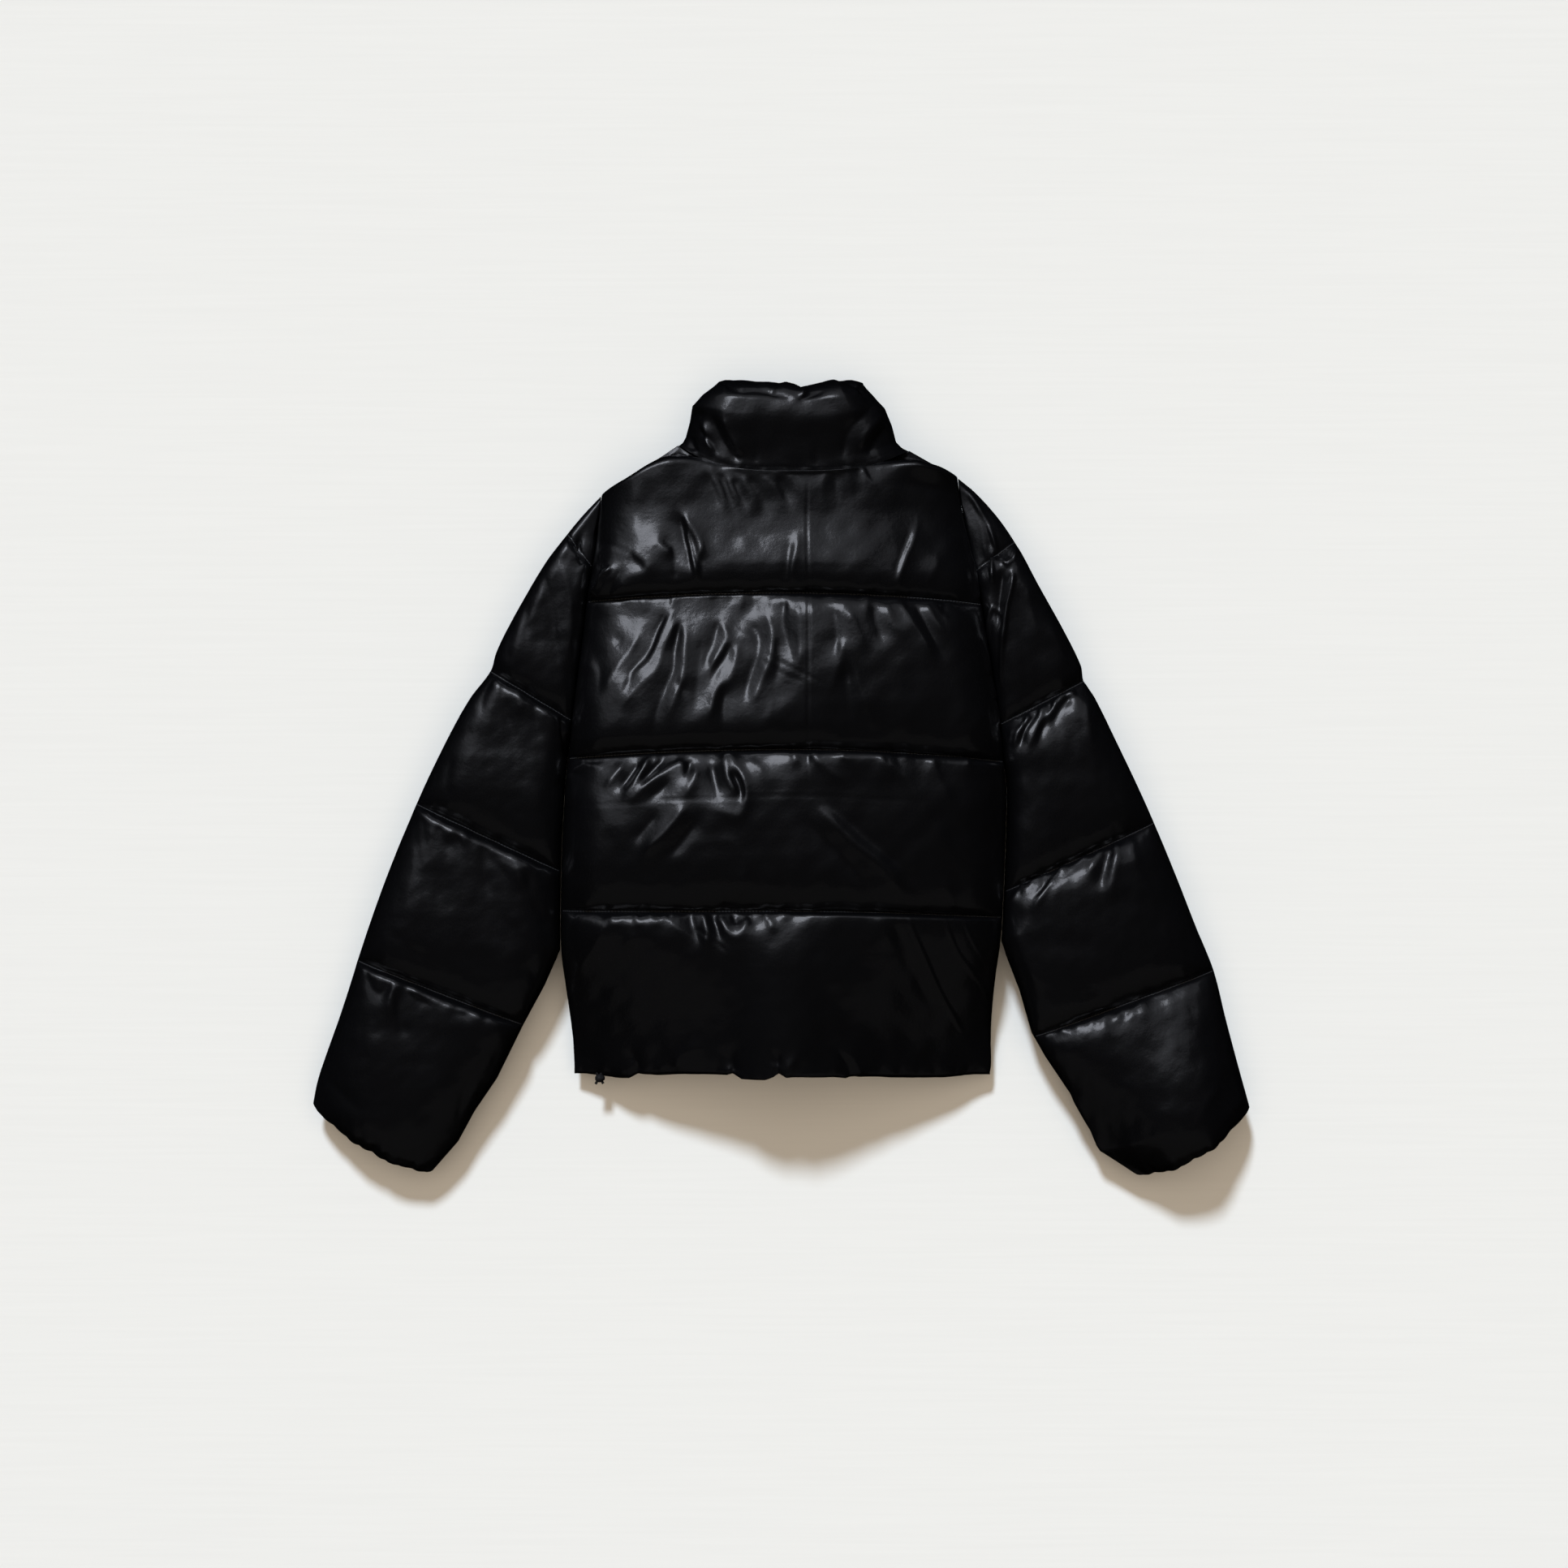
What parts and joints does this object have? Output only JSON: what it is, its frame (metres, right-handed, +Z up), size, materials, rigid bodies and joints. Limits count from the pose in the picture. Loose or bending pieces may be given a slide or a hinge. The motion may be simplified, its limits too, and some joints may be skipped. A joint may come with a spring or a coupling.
{
  "type": "puffer jacket",
  "caption": "Cropped glossy puffer jacket with a stand collar, laid flat on its front with its back up and its sleeves out.",
  "frame": {"origin": "on the surface the jacket lies on, under the middle of its overall box", "axes": "+Z up, away from the surface, out of the jacket's back; +Y towards the collar; +X towards the wearer's right sleeve"},
  "size_m": [0.9268, 0.7804, 0.1079],
  "materials": {
    "shell": "black high-gloss nylon over soft padding",
    "zip": "black zip tape with moulded teeth",
    "zip_metal": "satin black metal",
    "cord": "black braided elastic cord"
  },
  "bodies": {
    "jacket": {"back": "shell", "front_left": "shell", "front_right": "shell", "sleeve_left_upper": "shell", "sleeve_left_lower": "shell", "sleeve_right_upper": "shell", "sleeve_right_lower": "shell", "collar": "shell", "zip_chain": "zip", "zip_slider": "zip_metal", "hem_cord_knot": "cord"},
    "zip_pull": {"zip_pull": "zip_metal"}
  },
  "joints": [
    {"name": "zip_pull_hinge", "type": "hinge", "parent": "jacket", "child": "zip_pull", "pos_m": [0.01029, 0.371, 0.0131], "axis": [1, 0, 0], "range_deg": [-33, 150]}
  ]
}
